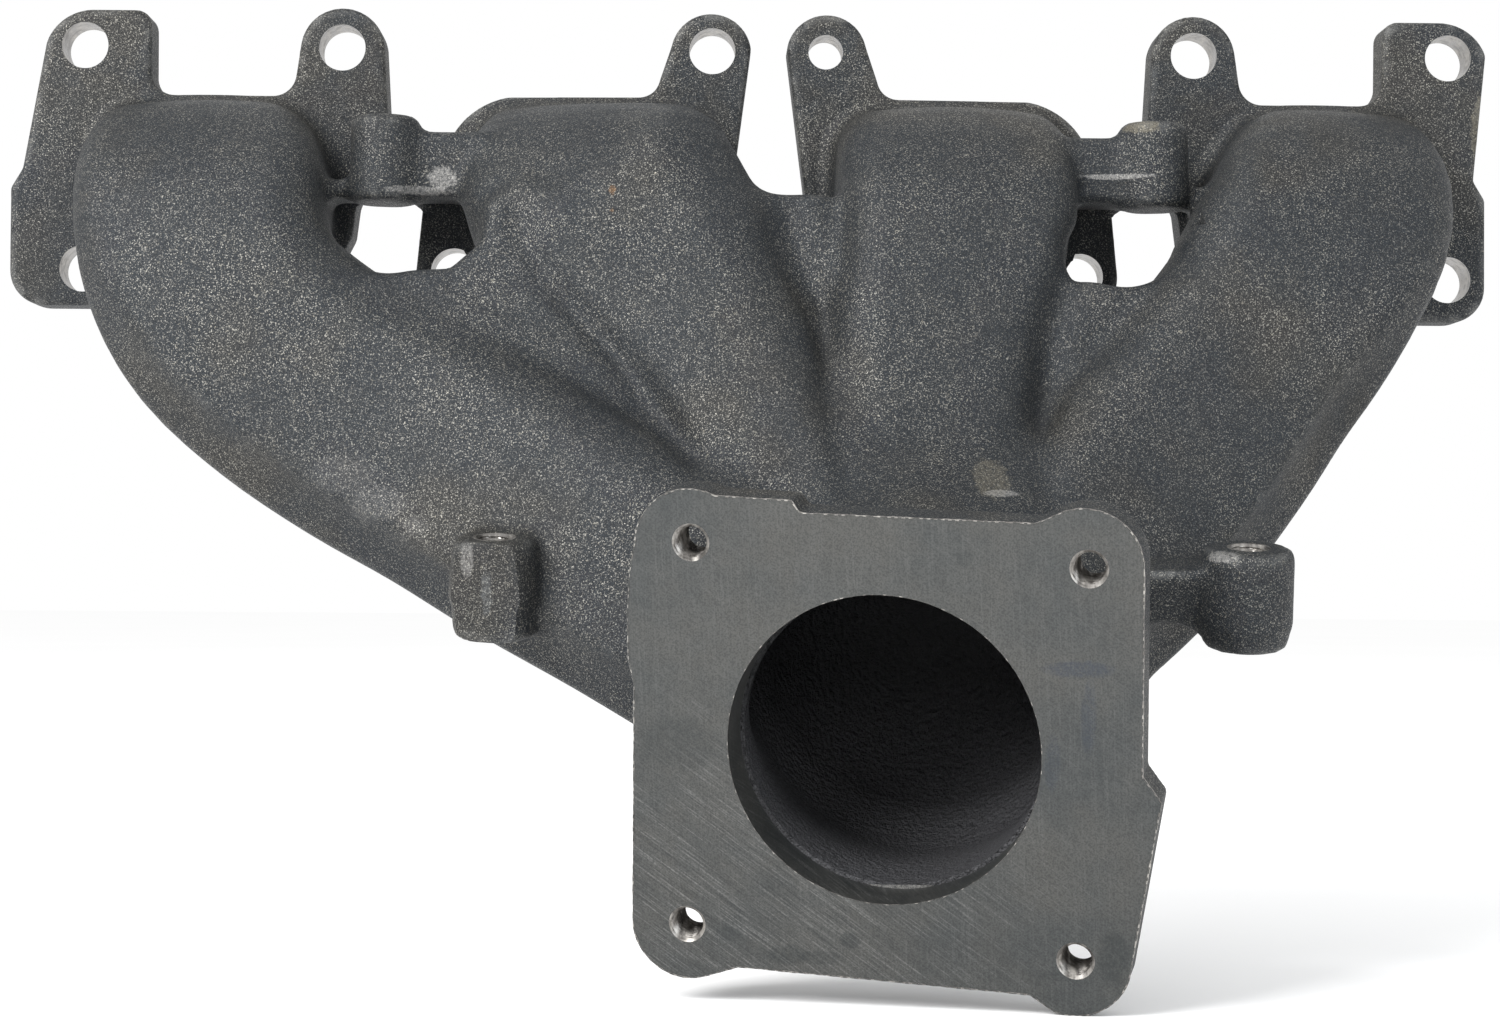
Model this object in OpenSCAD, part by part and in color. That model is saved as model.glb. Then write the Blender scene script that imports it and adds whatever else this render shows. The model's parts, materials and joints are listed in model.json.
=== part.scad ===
// Cast iron exhaust manifold for a four-cylinder in-line engine.
// Frame: the gasket face lies in the plane y = 0 and looks along +Y, +Z is up,
// x = 0 is midway between ports 2 and 3, and z = 0 is midway between the bolt rows.
// The real object is one casting. Each module is one named region of it,
// and neighbouring regions meet face to face.

/* [Port flanges] */
// Distance between neighbouring port centres
port_pitch = 96; // [95:0.5:97]
// Thickness of the four port flanges
flange_t = 12; // [11:0.5:13]
// Distance between the upper and the lower bolt row
bolt_row_gap = 58; // [57:0.5:59]
// Distance from a port centre to its bolts, along X
bolt_side = 33.25; // [33:0.25:33.5]
// Diameter of a bolt hole
bolt_hole_d = 12; // [11:0.5:12.5]
// Diameter of the locating hole
locating_hole_d = 9; // [8:0.5:10]
// Outer radius of a bolt lug
lug_r = 11; // [10.5:0.25:11.5]

/* [Gas passages] */
// Width of a port opening
port_w = 46; // [42:1:48]
// Height of a port opening
port_h = 33; // [30:1:34]
// Height of the port centres
port_z = -8; // [-9:0.5:-7]
// Thickness of the runner walls
wall = 5.5; // [4.5:0.5:6]

/* [Outlet] */
// Diameter of the machined outlet bore
outlet_bore_d = 72; // [70:1:74]
// Side of the square of outlet threads
outlet_bolt_square = 90; // [89:0.5:91]
// Thickness of the outlet flange
outlet_t = 12; // [11:0.5:13]
// Outer diameter of the neck behind the outlet flange
neck_d = 84; // [82:1:86]
// Length of the neck
neck_len = 18; // [16:1:20]
// Swing of the outlet towards -X, in degrees
outlet_yaw = 15.4; // [14.5:0.1:16]
// Dip of the outlet face, in degrees
outlet_dip = 12.9; // [12:0.1:14]
// Roll of the outlet flange in its own plane, in degrees
outlet_roll = 3.6; // [3:0.1:4]

/* [Shield bosses] */
// Diameter of the upper shield bosses
upper_boss_d = 17.5; // [17:0.5:19]
// Height of the upper shield bosses
upper_boss_h = 22; // [20:1:24]
// Diameter of the lower shield bosses
lower_boss_d = 22; // [21:0.5:23]
// Height of the lower shield bosses
lower_boss_h = 24; // [22:1:26]
// Tapping diameter of every thread
thread_d = 6.8; // [6.6:0.1:7]

/* [Hidden] */

iron = "dimgray";
machined = "gray";
eps = 0.01;
far = 500;
bolt_z = bolt_row_gap / 2;
port_x = [for (i = [0:3]) (i - 1.5) * port_pitch];
port_corner = 13;
fillet_steps = 8;
thread_depth = 18;

// Facets round a bolt or thread hole, round a large bore, and round the collector bulb
bore_fn = 64;
wide_fn = 96;
bulb_fn = 36;
mouth_fn = 48;

// Runner sections: points round each, how square they are, and the thickness of a slab
section_steps = 24;
section_power = 3;
slab = 0.4;

// Outlet face centre
outlet_at = [24, -124, -147];
cavity_d = outlet_bore_d - 2;

// Collector bulb
bulb_at = [35, -72, -128];
bulb_r = 44;
lead_in_r = 17;

// Runner centrelines: [x from the port centre, y, z, width, depth]
runner_path = [
    [[1, -6, -8, 62, 44], [1, -22, -9, 62, 44], [1, -34, -18, 62, 44], [4, -40, -31, 62, 44],
     [12, -43, -45, 62, 44], [27, -45, -58, 63, 44], [46, -48, -70, 64, 44], [68, -54, -82, 64, 45],
     [90, -62, -95, 64, 46], [114, -72, -109, 62, 46], [138, -81, -124, 60, 45]],
    [[4, -6, -8, 64, 44], [4, -22, -9, 64, 44], [4, -34, -18, 61, 44], [17, -40, -30, 53, 44],
     [28, -44, -42, 51, 44], [35, -49, -54, 49, 44], [41, -55, -67, 49, 44], [48, -62, -82, 49, 44],
     [57, -70, -99, 50, 44], [66, -78, -116, 50, 44]],
    [[-1, -6, -8, 60, 44], [-1, -22, -9, 60, 44], [-1, -34, -18, 60, 44], [-3, -40, -30, 60, 44],
     [-6, -44, -43, 59, 44], [-8, -49, -57, 57, 44], [-9, -55, -72, 55, 44], [-11, -63, -88, 53, 44],
     [-14, -72, -104, 51, 44], [-18, -80, -120, 50, 44]],
    [[-4, -6, -8, 62, 44], [-4, -22, -9, 62, 44], [-4, -34, -18, 62, 44], [-10, -40, -30, 62, 44],
     [-18, -43, -43, 62, 44], [-28, -46, -56, 63, 44], [-39, -51, -71, 64, 44], [-52, -58, -87, 64, 44],
     [-67, -67, -103, 62, 44], [-85, -76, -117, 60, 44], [-105, -82, -126, 56, 44]]
];

// ---------- plain geometry ----------

// Points along an arc of centre c and radius r, from angle a0 to a1
function arc(c, r, a0, a1, steps = 14) =
    [for (i = [0:steps]) let (a = a0 + (a1 - a0) * i / steps) c + r * [cos(a), sin(a)]];

// Mirror an outline left to right
function flipped(points) = [for (p = points) [-p.x, p.y]];

// Closed section between a rectangle and an ellipse
function section_points(w, d) = [for (i = [0:section_steps - 1])
    let (a = 360 * i / section_steps, c = cos(a), s = sin(a))
    [w / 2 * sign(c) * pow(abs(c), 2 / section_power), d / 2 * sign(s) * pow(abs(s), 2 / section_power)]];

// Point at t along the smooth curve between b and c
function smooth(a, b, c, d, t) =
    0.5 * (2 * b + (c - a) * t + (2 * a - 5 * b + 4 * c - d) * t * t + (3 * b - a - 3 * c + d) * t * t * t);

// Waypoints with one more point halfway along every stretch
function refined(path) = let (last = len(path) - 1) [for (i = [0:last - 1], t = [0, 0.5])
    smooth(path[max(i - 1, 0)], path[i], path[i + 1], path[min(i + 2, last)], t)];

// ---------- runners ----------

// One thin slab across the path, at the point s and square to the direction t.
// A passage's slabs are thicker, so that it breaks through the end of its runner.
module station(s, t, grow) {
    lean = asin(-t.y / norm(t));
    turn = abs(t.x) + abs(t.z) < eps ? 0 : atan2(t.x, -t.z);
    translate([s[0], s[1], s[2]]) rotate([0, -turn, 0]) rotate([-lean, 0, 0])
        linear_extrude(grow < 0 ? 4 * slab : slab, center = true)
            polygon(section_points(s[3] + grow, s[4] + grow));
}

// Solid tube along the centreline of runner i, larger by grow across
module tube(i, grow = 0) {
    path = refined(runner_path[i]);
    last = len(path) - 1;
    translate([port_x[i], 0, 0]) for (k = [0:last - 1]) hull() {
        station(path[k], along(path, k), grow);
        station(path[k + 1], along(path, k + 1), grow);
    }
}

// Direction of a path at its point k
function along(path, k) =
    let (a = path[max(k - 1, 0)], b = path[min(k + 1, len(path) - 1)])
    [b[0] - a[0], b[1] - a[1], b[2] - a[2]];

// Carries the passage of runner 1, which stops at the bulb's skin, on into the bulb
module lead_in() {
    path = refined(runner_path[0]);
    last = len(path) - 1;
    hull() {
        translate([port_x[0], 0, 0]) station(path[last], along(path, last), -2 * wall);
        translate(bulb_at) sphere(r = lead_in_r, $fn = bulb_fn);
    }
}

// The four gas passages and the collector's hollow, as one solid
module gas() {
    for (i = [0:3]) tube(i, -2 * wall);
    lead_in();
    collector_form(-2 * wall, cavity_d);
}

// Everything from the front of the port flanges to the viewer's side
module ahead_of_flanges() translate([-far / 2, -flange_t - far, -far / 2]) cube(far);

// ---------- outlet frame ----------

// Children are placed with the outlet face at y = 0, the outlet looking along -Y
module at_outlet() {
    translate(outlet_at) rotate([0, 0, -outlet_yaw]) rotate([outlet_dip, 0, 0])
        rotate([0, outlet_roll, 0]) children();
}

// Everything behind the neck
module behind_neck() at_outlet() translate([-far / 2, outlet_t + neck_len, -far / 2]) cube(far);

// Disc square to the outlet axis, from the depth y on
module outlet_disc(d, y, t) {
    at_outlet() translate([0, y, 0]) rotate([-90, 0, 0]) cylinder(h = t, d = d, $fn = mouth_fn);
}

// Rounded body in which the runners meet, larger by grow, with its mouth at the neck
module collector_form(grow, mouth_d) {
    hull() {
        translate(bulb_at) sphere(r = bulb_r + grow / 2, $fn = bulb_fn);
        outlet_disc(mouth_d, outlet_t + neck_len - 2, 1);
    }
    outlet_disc(mouth_d, outlet_t - 1, neck_len);
}

// ---------- port flanges ----------

// Plate cut from an outline seen from the front, with its gas opening
module port_plate(outline, x) {
    difference() {
        rotate([90, 0, 0]) linear_extrude(flange_t) polygon(outline);
        rotate([90, 0, 0]) translate([x, port_z, -1]) linear_extrude(flange_t + 2) port_opening();
    }
}

// Gas opening with round corners
module port_opening() {
    square([port_w - 2 * port_corner, port_h], center = true);
    square([port_w, port_h - 2 * port_corner], center = true);
    for (sx = [-1, 1], sz = [-1, 1])
        translate([sx * (port_w / 2 - port_corner), sz * (port_h / 2 - port_corner)])
            circle(port_corner, $fn = mouth_fn);
}

// Bolt hole through a port flange
module flange_hole(x, z, d) {
    translate([x, 1, z]) rotate([90, 0, 0]) cylinder(h = flange_t + 2, d = d, $fn = bore_fn);
}

// End flange with two upper lugs and one squared lower block. out is how far the outer
// edge stands past the outer bolts, low is the level of the bottom edge.
function end_outline(out, low) =
    let (x = port_pitch * 1.5, o = x + bolt_side, i = x - bolt_side, top = bolt_z + 9.5)
    concat(
        arc([i, bolt_z - 0.5], lug_r, 170, 10),
        arc([i + lug_r + 7, bolt_z - 6.5], 6, 190, 270, fillet_steps),
        arc([o - lug_r - 12, bolt_z - 6.5], 6, 270, 350, fillet_steps),
        arc([o - lug_r - 2, top - 4], 4, 180, 90, fillet_steps),
        arc([o - 2, bolt_z - 3.5], 13, 90, 20),
        [[o + out - 3, -3], [o + out, -8]],
        arc([o + out - 9, low + 9], 9, 0, -90),
        arc([i + 20, low + 12], 12, -90, -160, fillet_steps),
        [[i, -26], [i - 3, -20], [i - 4, -12], [i - lug_r - 1, 10]]
    );

// Inner flange, with a high lug beside x = 0 and a low lug on its outer side
function inner_outline(lug_x) = let (x = port_pitch / 2, o = x + bolt_side)
    concat(
        arc([lug_x + 0.3, bolt_z - 0.5], lug_r - 0.5, 172, 10),
        arc([lug_x + lug_r + 8, bolt_z - 6.5], 5.5, 190, 270, fillet_steps),
        arc([x + 16, -4], 21, 80, 30),
        [[o + 8, -8]],
        arc([o - 1, -bolt_z], lug_r, 0, -90),
        arc([x - 18, -bolt_z - 4], 7, -90, -150, fillet_steps),
        [[x - 28, -22], [lug_x - 5, -10]]
    );

module port_flange_1() color(iron) difference() {
    port_plate(flipped(end_outline(19, -38.5)), port_x[0]);
    flange_hole(port_x[0] - bolt_side, bolt_z, bolt_hole_d);
    flange_hole(port_x[0] + bolt_side, bolt_z, bolt_hole_d);
    flange_hole(port_x[0] - bolt_side, -bolt_z, bolt_hole_d);
}

module port_flange_2() color(iron) difference() {
    port_plate(flipped(inner_outline(port_pitch / 2 - bolt_side)), port_x[1]);
    flange_hole(port_x[1] + bolt_side, bolt_z, bolt_hole_d);
    flange_hole(port_x[1] - bolt_side, -bolt_z, bolt_hole_d);
}

module port_flange_3() color(iron) difference() {
    port_plate(inner_outline(port_pitch / 2 - bolt_side), port_x[2]);
    flange_hole(port_x[2] - bolt_side, bolt_z, locating_hole_d);
    flange_hole(port_x[2] + bolt_side, -bolt_z, bolt_hole_d);
}

module port_flange_4() color(iron) difference() {
    port_plate(end_outline(10, -40), port_x[3]);
    flange_hole(port_x[3] - bolt_side, bolt_z, bolt_hole_d);
    flange_hole(port_x[3] + bolt_side, bolt_z, bolt_hole_d);
    flange_hole(port_x[3] + bolt_side, -bolt_z, bolt_hole_d);
}

// ---------- runner nodes ----------

// Runner i outside the collector, cut back where the bosses and its neighbour stand
module runner(i, neighbours) color(iron) difference() {
    intersection() {
        tube(i);
        ahead_of_flanges();
        behind_neck();
    }
    gas();
    collector_form(0, neck_d);
    for (n = neighbours) tube(n);
    boss_envelopes();
}

module runner_1() runner(0, [1]);
module runner_2() runner(1, []);
module runner_3() runner(2, [1]);
module runner_4() runner(3, [2]);

web_t = 9;

// Plate that fills the notch between two runners, leaning forward from its top edge
module web(outline, y, lean) color(iron) difference() {
    translate([0, y, 0]) rotate([lean, 0, 0]) rotate([90, 0, 0]) linear_extrude(web_t) polygon(outline);
    for (i = [0:3]) tube(i);
    collector_form(0, neck_d);
}

module web_1_2() {
    web([[-104, -36], [-80, -36], [-71, -28], [-46, -28], [-10, -62], [-10, -84], [-40, -80]], -41.3, -14);
}

module web_2_3() {
    web([[-20, -14], [30, -14], [30, -90], [0, -90]], -36, -14);
}

module web_3_4() {
    web([[60, -24], [76, -37], [100, -37], [112, -26], [84, -66], [60, -96], [50, -90]], -39, -14);
}

// ---------- bridges and upper bosses ----------

upper_boss_x = port_pitch + 1.3;
upper_boss_y = -33;
upper_boss_low = -14;
bar_y = -38;
foot_low = -10.5;

// Bar from an upper boss to the inner runner, ledge from it to the outer runner,
// and the foot that ties it to the flange face
module bridge(side) color(iron) difference() {
    union() {
        bridge_box(side, [upper_boss_x - 24, bar_y, upper_boss_low], [20, 17, 17]);
        bridge_box(side, [upper_boss_x - 6, bar_y + 3, upper_boss_low], [22, 17, 5]);
        bridge_box(side, [upper_boss_x - 12, bar_y + 10, foot_low], [18, -bar_y - flange_t - 10, 9]);
    }
    for (i = side > 0 ? [2, 3] : [0, 1]) tube(i);
    upper_boss_form(side);
}

// Box with its corner at p on the right side, mirrored for the left side
module bridge_box(side, p, size) {
    translate([side > 0 ? p.x : -p.x - size.x, p.y, p.z]) cube(size);
}

module bridge_left() bridge(-1);
module bridge_right() bridge(1);

module upper_boss_form(side) {
    translate([side * upper_boss_x, upper_boss_y, upper_boss_low])
        cylinder(h = upper_boss_h, d = upper_boss_d, $fn = bore_fn);
}

module upper_boss(side) color(iron) difference() {
    upper_boss_form(side);
    translate([side * upper_boss_x, upper_boss_y, upper_boss_low + upper_boss_h - thread_depth])
        cylinder(h = thread_depth + 1, d = thread_d, $fn = bore_fn);
}

module upper_boss_left() upper_boss(-1);
module upper_boss_right() upper_boss(1);

// ---------- collector, neck and outlet flange ----------

module collector() color(iron) difference() {
    intersection() {
        collector_form(0, neck_d);
        behind_neck();
    }
    gas();
    boss_envelopes();
}

module outlet_neck() color(iron) at_outlet() translate([0, outlet_t, 0]) rotate([-90, 0, 0]) difference() {
    cylinder(h = neck_len, d = neck_d, $fn = wide_fn);
    translate([0, 0, -1]) cylinder(h = neck_len + 2, d = cavity_d, $fn = wide_fn);
}

// Outline of the outlet flange in its own plane, seen from the front
function outlet_outline() = let (h = outlet_bolt_square / 2, r = 13)
    concat(
        arc([-h, h - 0.8], r, 180, 65),
        [[-h + 10, h + 11], [-h + 23, h + 11], [-h + 25, h + 8.3], [h - 12, h + 9.3]],
        arc([h - 1, h + 0.3], r, 120, 0),
        [[h + 13.3, -1], [h + 15, -3.2], [h + 17.7, -6.6]],
        arc([h - 0.5, -h], r, -15, -110),
        [[h - 10, -h - 9], [-h + 12, -h - 9.2]],
        arc([-h, -h], r, -70, -180),
        [[-h - r, 11], [-h - r - 1.4, 17], [-h - r - 1.7, 27], [-h - r - 1.2, 37]]
    );

module outlet_flange() color(machined) at_outlet() difference() {
    translate([0, outlet_t, 0]) rotate([90, 0, 0]) linear_extrude(outlet_t) polygon(outlet_outline());
    translate([0, -1, 0]) rotate([-90, 0, 0]) cylinder(h = outlet_t + 2, d = outlet_bore_d, $fn = wide_fn);
    for (sx = [-1, 1], sz = [-1, 1])
        translate([sx * outlet_bolt_square / 2, -1, sz * outlet_bolt_square / 2]) rotate([-90, 0, 0])
            cylinder(h = outlet_t + 2, d = thread_d, $fn = bore_fn);
}

// ---------- lower bosses ----------

// Centre of each lower boss, halfway up
lower_left_at = [-65.4, -88, -110.7];
lower_right_at = [110.7, -95, -112];

module lower_boss_form(at) {
    translate(at) rotate([outlet_dip, 0, 0])
        cylinder(h = lower_boss_h, d = lower_boss_d, center = true, $fn = bore_fn);
}

module lower_boss(at) color(iron) difference() {
    lower_boss_form(at);
    translate(at) rotate([outlet_dip, 0, 0]) translate([0, 0, lower_boss_h / 2 - thread_depth])
        cylinder(h = thread_depth + 1, d = thread_d, $fn = bore_fn);
}

module lower_boss_left() lower_boss(lower_left_at);
module lower_boss_right() lower_boss(lower_right_at);

module boss_envelopes() {
    lower_boss_form(lower_left_at);
    lower_boss_form(lower_right_at);
}

// Arm that carries the right lower boss on runner 4
module lower_boss_arm() color(iron) difference() {
    translate(lower_right_at) rotate([outlet_dip, 0, 0]) translate([-26, -7, -5]) cube([26, 32, 12]);
    lower_boss_form(lower_right_at);
    tube(3);
    collector_form(0, neck_d);
}

port_flange_1();
port_flange_2();
port_flange_3();
port_flange_4();
runner_1();
runner_2();
runner_3();
runner_4();
web_1_2();
web_2_3();
web_3_4();
bridge_left();
bridge_right();
upper_boss_left();
upper_boss_right();
collector();
outlet_neck();
outlet_flange();
lower_boss_left();
lower_boss_right();
lower_boss_arm();
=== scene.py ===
"""Looks of the cast iron exhaust manifold.

The casting is one distance field in millimetres: runners, webs, collector and bosses joined with
round fillets, less the gas passages. The field becomes a mesh, which is carved into one closed piece
for each CAD node. Flanges are fields of their own, grown from the outlines of the CAD flanges.
"""
import math
import bmesh
import bpy
import numpy as np
import openvdb
from mathutils import Matrix, Vector
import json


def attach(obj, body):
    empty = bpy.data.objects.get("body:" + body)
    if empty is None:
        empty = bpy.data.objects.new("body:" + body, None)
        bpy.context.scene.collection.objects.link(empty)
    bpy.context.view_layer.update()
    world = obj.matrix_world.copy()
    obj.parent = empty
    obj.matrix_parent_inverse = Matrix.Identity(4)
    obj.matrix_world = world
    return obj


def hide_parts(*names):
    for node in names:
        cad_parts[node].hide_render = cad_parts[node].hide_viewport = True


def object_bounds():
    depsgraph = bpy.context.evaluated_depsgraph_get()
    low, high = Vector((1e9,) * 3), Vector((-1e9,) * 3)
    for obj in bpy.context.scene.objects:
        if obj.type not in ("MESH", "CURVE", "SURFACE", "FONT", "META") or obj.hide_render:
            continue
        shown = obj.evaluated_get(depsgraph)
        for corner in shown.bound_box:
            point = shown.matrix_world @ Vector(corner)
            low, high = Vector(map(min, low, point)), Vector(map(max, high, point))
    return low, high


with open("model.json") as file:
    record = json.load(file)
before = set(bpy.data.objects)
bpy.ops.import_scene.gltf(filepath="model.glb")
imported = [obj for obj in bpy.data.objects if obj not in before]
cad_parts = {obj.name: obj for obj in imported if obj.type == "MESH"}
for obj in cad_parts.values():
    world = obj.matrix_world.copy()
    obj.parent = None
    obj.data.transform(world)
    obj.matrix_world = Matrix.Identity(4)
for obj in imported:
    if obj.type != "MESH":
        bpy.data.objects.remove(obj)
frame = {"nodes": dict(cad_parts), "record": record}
cad_low, cad_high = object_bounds()

MM = 0.001
CASTING_CELL = 1.25
FLANGE_CELL = 0.8
# Largest distance a field holds, and the width of the blur that finds bends
FAR = 60.0
BEND_SPREAD = 2.6

# ---- places taken from the frame

mounts = {m["name"]: m for m in frame["record"]["mounts"]}


def place(name):
    """A mount's position, in millimetres."""
    return np.array(mounts[name]["pos_m"]) / MM


def size_of(name, key):
    """One of a mount's dimensions, in millimetres."""
    return mounts[name]["dims"][key]


def direction(name):
    """A mount's axis."""
    axis = np.array(mounts[name]["axis"], float)
    return axis / np.linalg.norm(axis)


FLANGE_T = size_of("locating_hole", "length_mm")
BOLT_R = size_of("head_studs", "hole_r_mm")
LOCATING_R = size_of("locating_hole", "r_mm")
BOLT_Z = size_of("head_studs", "spacing_y_mm") / 2
PORT_PITCH = (size_of("head_studs", "spacing_x_mm") + size_of("head_studs_upper", "spacing_x_mm")) / 6
PORT_X = [(i - 1.5) * PORT_PITCH for i in range(4)]
PORT_Z = -8.0

ROW_AXES = (np.array([1.0, 0, 0]), np.array([0, 1.0, 0]), np.array([0, 0, 1.0]))
# The outlet's own axes: across the flange, behind its face, and up the flange
OUTLET_AT = place("outlet_threads")
OUTLET_OUT = direction("outlet_threads")
OUTLET_ACROSS = place("outlet_face") - OUTLET_AT
OUTLET_ACROSS /= np.linalg.norm(OUTLET_ACROSS)
OUTLET_UP = np.cross(OUTLET_ACROSS, -OUTLET_OUT)
OUTLET_AXES = (OUTLET_ACROSS, -OUTLET_OUT, OUTLET_UP)
OUTLET_T = size_of("outlet_bore", "length_mm")
OUTLET_R = size_of("outlet_bore", "r_mm")
OUTLET_BOLT = size_of("outlet_threads", "pcd_mm") / math.sqrt(8)
OUTLET_BOLTS = [(x * OUTLET_BOLT, z * OUTLET_BOLT) for x in (-1, 1) for z in (-1, 1)]
NECK_LEN = 18.0
NECK_R = 42.0
CAVITY_R = OUTLET_R - 1

WALL = 5.5
THREAD_R = size_of("outlet_threads", "hole_r_mm")
THREAD_PITCH = 1.25
SLEEVE_WALL = 1.7

# Runner centrelines, as in the CAD: x from the port centre, y, z, width, depth
RUNNERS = [
    [(1, -6, -8, 62, 44), (1, -22, -9, 62, 44), (1, -34, -18, 62, 44), (4, -40, -31, 62, 44),
     (12, -43, -45, 62, 44), (27, -45, -58, 63, 44), (46, -48, -70, 64, 44), (68, -54, -82, 64, 45),
     (90, -62, -95, 64, 46), (114, -72, -109, 62, 46), (138, -81, -124, 60, 45)],
    [(4, -6, -8, 64, 44), (4, -22, -9, 64, 44), (4, -34, -18, 61, 44), (17, -40, -30, 53, 44),
     (28, -44, -42, 51, 44), (35, -49, -54, 49, 44), (41, -55, -67, 49, 44), (48, -62, -82, 49, 44),
     (57, -70, -99, 50, 44), (66, -78, -116, 50, 44)],
    [(-1, -6, -8, 60, 44), (-1, -22, -9, 60, 44), (-1, -34, -18, 60, 44), (-3, -40, -30, 60, 44),
     (-6, -44, -43, 59, 44), (-8, -49, -57, 57, 44), (-9, -55, -72, 55, 44), (-11, -63, -88, 53, 44),
     (-14, -72, -104, 51, 44), (-18, -80, -120, 50, 44)],
    [(-4, -6, -8, 62, 44), (-4, -22, -9, 62, 44), (-4, -34, -18, 62, 44), (-10, -40, -30, 62, 44),
     (-18, -43, -43, 62, 44), (-28, -46, -56, 63, 44), (-39, -51, -71, 64, 44), (-52, -58, -87, 64, 44),
     (-67, -67, -103, 62, 44), (-85, -76, -117, 60, 44), (-105, -82, -126, 56, 44)],
]
# Sloping inner shoulders of the outer runners: x and z of a point, and the way out of the metal there
SHOULDERS = {0: ((-116.5, 5.5), (0.83, 0.56)), 3: ((114.0, -2.4), (-0.829, 0.559))}
# Full right shoulder of the second runner: ends and radius of a round bar
SHOULDER_2 = (np.array([-21.0, -39, -6]), np.array([-13.0, -44, -21]), 13.0)
BULB_AT = (35, -72, -128)
BULB_R = 44.0
LEAD_IN_R = 17.0
# Samples of a runner's path from one waypoint to the next
PATH_STEPS = 4
RUNNER_FILLET = 6
WEB_FILLET = 4
BOSS_FILLET = 2.5
COLLECTOR_FILLET = 12

# ---- distance fields


def length(*parts):
    """Length of a vector given by its parts."""
    return np.sqrt(sum(p * p for p in parts))


def dot(a, b):
    """Scalar product of two vectors given by their parts."""
    return a[0] * b[0] + a[1] * b[1] + a[2] * b[2]


def joined(a, b, fillet):
    """Union of two fields with a round fillet."""
    u = np.maximum(fillet - a, 0)
    v = np.maximum(fillet - b, 0)
    return np.maximum(fillet, np.minimum(a, b)) - length(u, v)


def cut_by(a, b, fillet):
    """Field a where field b is not, with a round edge."""
    return -joined(-a, b, fillet)


def rounded(edge, *parts):
    """Field of the space where every part is below edge, its corners rounded by edge."""
    worst = parts[0]
    for part in parts[1:]:
        worst = np.maximum(worst, part)
    return length(*[np.maximum(part, 0) for part in parts]) + np.minimum(worst, 0) - edge


def box_field(p, half, edge):
    """Box about the origin of p with rounded edges."""
    return rounded(edge, *[np.abs(p[i]) - (half[i] - edge) for i in range(3)])


def along_segment(p, a, b):
    """How far along the way from a to b each point lies, 0 to 1, and its squared distance from there."""
    seg = np.array(b, float) - a
    d = [c - start for c, start in zip(p, a)]
    t = np.clip(sum(x * s for x, s in zip(d, seg)) / (seg @ seg), 0, 1)
    return t, sum((x - t * s) ** 2 for x, s in zip(d, seg))


def capsule(p, a, b, radius):
    """Round bar with round ends from a to b."""
    return np.sqrt(along_segment(p, a, b)[1]) - radius


def disc_field(radial, axial, radius, half, edge):
    """Round bar with rounded ends, from the distance to its axis and the place along it."""
    return rounded(edge, radial - (radius - edge), np.abs(axial) - (half - edge))


def plate_field(flat, depth, thickness, edge):
    """Plate from the distance to its outline and the depth below its face, with rounded edges."""
    return rounded(edge, flat + edge, np.abs(depth - thickness / 2) - thickness / 2 + edge)


def local(p, origin, axes):
    """Coordinates of p along axes from an origin."""
    d = [p[i] - origin[i] for i in range(3)]
    return [dot(d, a) for a in axes]


def smooth_path(points, x_shift):
    """Samples of a smooth curve through the waypoints."""
    pts = [np.array(p, float) + (x_shift, 0, 0, 0, 0) for p in points]
    out = []
    last = len(pts) - 1
    for i in range(last):
        a, b, c, d = pts[max(i - 1, 0)], pts[i], pts[i + 1], pts[min(i + 2, last)]
        for k in range(PATH_STEPS):
            t = k / PATH_STEPS
            out.append(0.5 * (2 * b + (c - a) * t + (2 * a - 5 * b + 4 * c - d) * t * t
                              + (3 * b - a - 3 * c + d) * t ** 3))
    out.append(pts[last])
    return np.array(out)


def evened(vectors, reach=5):
    """Unit vectors along a path, each averaged with its neighbours."""
    padded = np.pad(vectors, ((reach, reach), (0, 0)), mode="edge")
    total = sum(padded[k:k + len(vectors)] for k in range(2 * reach + 1))
    return total / np.linalg.norm(total, axis=1)[:, None]


def runner_section(p, path):
    """Sideways, front to back, past the end, half width, half depth and how many waypoints along."""
    centre = path[:, :3]
    along = np.gradient(centre, axis=0)
    along /= np.linalg.norm(along, axis=1)[:, None]
    side = np.stack([-along[:, 2], 0 * along[:, 0], along[:, 0]], 1)
    side[np.linalg.norm(side, axis=1) < 0.2] = (1, 0, 0)
    side /= np.linalg.norm(side, axis=1)[:, None]
    side = evened(side)
    shape = np.broadcast_shapes(*[np.shape(c) for c in p])
    best = np.full(shape, 1e9, np.float32)
    where = np.zeros(shape, np.float32)
    for k in range(len(centre) - 1):
        t, gap = along_segment(p, centre[k], centre[k + 1])
        nearer = gap < best
        best = np.where(nearer, gap, best)
        where = np.where(nearer, k + t, where)
    low = np.minimum(where.astype(np.int32), len(centre) - 2)
    part = where - low

    def at(column):
        return (column[low] * (1 - part) + column[low + 1] * part).astype(np.float32)

    d = [p[i] - at(centre[:, i]) for i in range(3)]
    s = [at(side[:, i]) for i in range(3)]
    t = [at(along[:, i]) for i in range(3)]
    back = [s[1] * t[2] - s[2] * t[1], s[2] * t[0] - s[0] * t[2], s[0] * t[1] - s[1] * t[0]]
    past = local(p, centre[-1], (along[-1],))[0]
    return dot(d, s), dot(d, back), past, at(path[:, 3]) / 2, at(path[:, 4]) / 2, where / PATH_STEPS


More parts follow.
